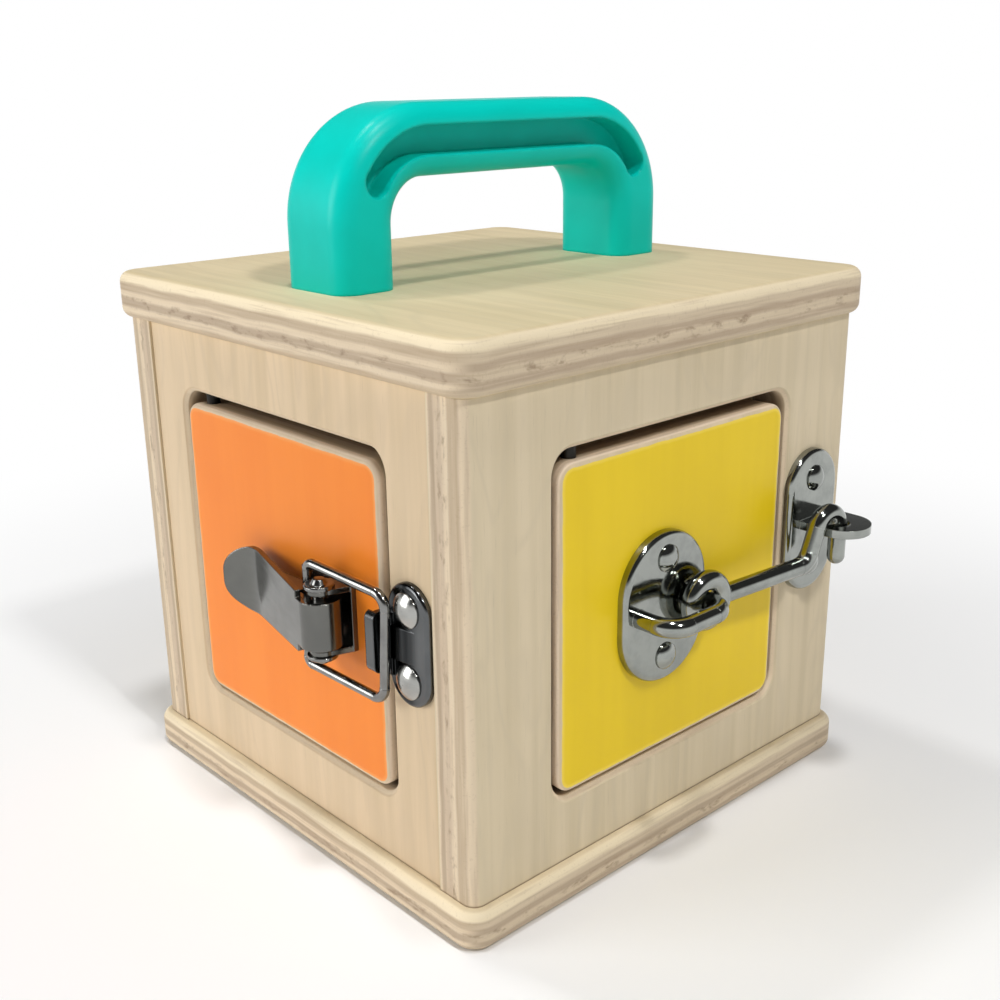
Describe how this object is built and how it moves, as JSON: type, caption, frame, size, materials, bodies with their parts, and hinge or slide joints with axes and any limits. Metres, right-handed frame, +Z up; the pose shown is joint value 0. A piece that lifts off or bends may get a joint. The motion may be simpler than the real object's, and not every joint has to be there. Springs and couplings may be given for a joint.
{
  "type": "lock box toy",
  "caption": "Plywood toy box with a carrying handle, an orange front door closed by a draw latch and a yellow side door closed by a cabin hook.",
  "frame": {"origin": "centre of the underside of the bottom panel, on the floor", "axes": "+Z up; -Y is the front with the orange door and the draw latch; +X is the right side with the yellow door and the cabin hook"},
  "size_m": [0.1379, 0.1322, 0.1596],
  "materials": {
    "plywood": "clear satin lacquer on birch plywood, striped edges",
    "orange_plywood": "satin orange paint on the face, bare plywood edges and back",
    "yellow_plywood": "satin yellow paint on the face, bare plywood edges and back",
    "turquoise_plastic": "soft gloss moulded turquoise",
    "satin_nickel": "satin nickel plate",
    "chrome": "bright plate",
    "steel": "plain zinc plate"
  },
  "bodies": {
    "box": {"bottom_panel": "plywood", "top_panel": "plywood", "front_panel": "plywood", "back_panel": "plywood", "left_panel": "plywood", "right_panel": "plywood", "handle": "turquoise_plastic", "handle_screws": "steel", "front_door_pins": "steel", "front_door_stop": "plywood", "right_door_pins": "steel", "right_door_stop": "plywood", "latch_catch": "satin_nickel", "latch_catch_rivets": "satin_nickel", "keeper_plate": "chrome", "keeper_rivets": "chrome"},
    "front_door": {"front_door": "orange_plywood", "latch_base": "satin_nickel", "latch_base_rivets": "satin_nickel", "latch_pin": "satin_nickel"},
    "latch_lever": {"latch_lever": "satin_nickel"},
    "latch_bail": {"latch_bail": "satin_nickel"},
    "right_door": {"right_door": "yellow_plywood", "hook_plate": "chrome", "hook_plate_rivets": "chrome"},
    "hook": {"cabin_hook": "chrome"}
  },
  "joints": [
    {"name": "front_door_swing", "type": "hinge", "parent": "box", "child": "front_door", "pos_m": [-0.0305, -0.056, 0.0598], "axis": [0, 0, -1], "range_deg": [0, 105]},
    {"name": "latch_lever_flip", "type": "hinge", "parent": "front_door", "child": "latch_lever", "pos_m": [0.0214, -0.0655, 0.0607], "axis": [0, 0, 1], "range_deg": [0, 150]},
    {"name": "latch_bail_swing", "type": "hinge", "parent": "latch_lever", "child": "latch_bail", "pos_m": [0.01632, -0.0651, 0.0607], "axis": [0, 0, 1], "range_deg": [-173, 0.5]},
    {"name": "right_door_swing", "type": "hinge", "parent": "box", "child": "right_door", "pos_m": [0.0565, -0.0305, 0.0598], "axis": [0, 0, -1], "range_deg": [0, 95]},
    {"name": "hook_lift", "type": "hinge", "parent": "right_door", "child": "hook", "pos_m": [0.0655, 0.00215, 0.0584], "axis": [1, 0, 0], "range_deg": [0, 100]}
  ],
  "couplings": [
    {"joint": "latch_bail_swing", "follows": "latch_lever_flip", "ratio": -1.15}
  ]
}
